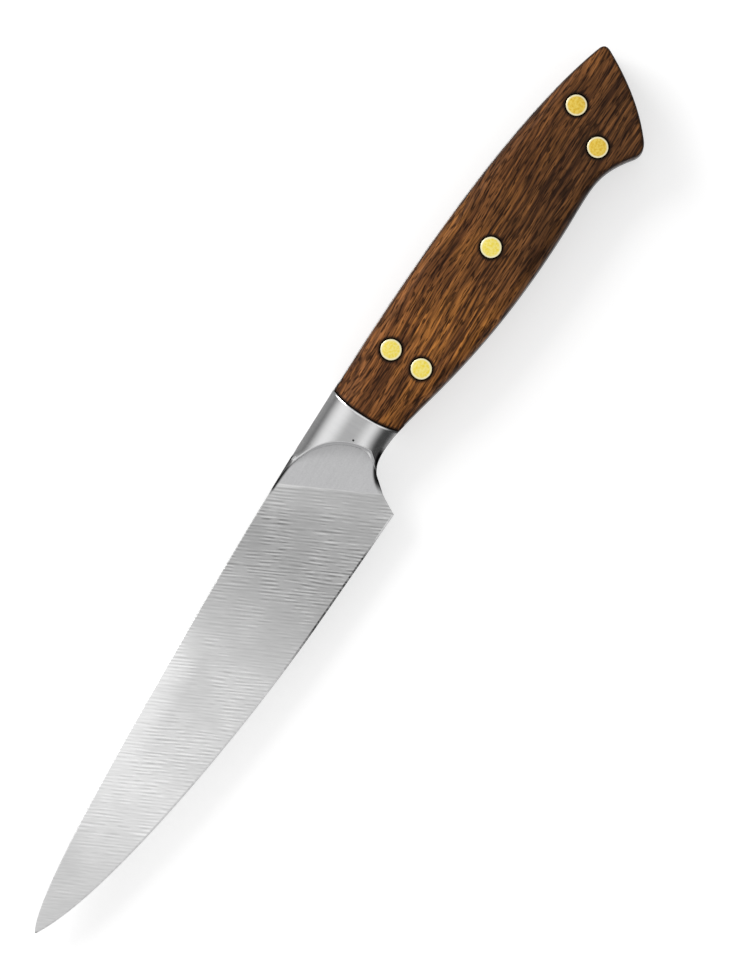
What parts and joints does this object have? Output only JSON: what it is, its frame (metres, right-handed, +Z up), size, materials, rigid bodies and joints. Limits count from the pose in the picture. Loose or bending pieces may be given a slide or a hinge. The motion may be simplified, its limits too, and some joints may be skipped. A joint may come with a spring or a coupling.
{
  "type": "barbecue knife",
  "caption": "Forged utility knife for the barbecue with a pointed blade, a full bolster and brass-riveted wooden scales on a full tang.",
  "frame": {"origin": "on the surface that the knife lies on, under the middle of its bounding box", "axes": "+X from the point to the butt, +Y from the cutting edge to the spine, +Z up out of the left side"},
  "size_m": [0.2452, 0.031, 0.017],
  "materials": {
    "steel": "ground blade, polished bolster",
    "wood": "oiled",
    "brass": "sanded flush"
  },
  "bodies": {
    "root": {"forged_blade": "steel", "left_scale": "wood", "right_scale": "wood", "front_spine_rivet_male": "brass", "front_spine_rivet_female": "brass", "front_belly_rivet_male": "brass", "front_belly_rivet_female": "brass", "middle_rivet_male": "brass", "middle_rivet_female": "brass", "rear_spine_rivet_male": "brass", "rear_spine_rivet_female": "brass", "rear_belly_rivet_male": "brass", "rear_belly_rivet_female": "brass"}
  },
  "joints": []
}
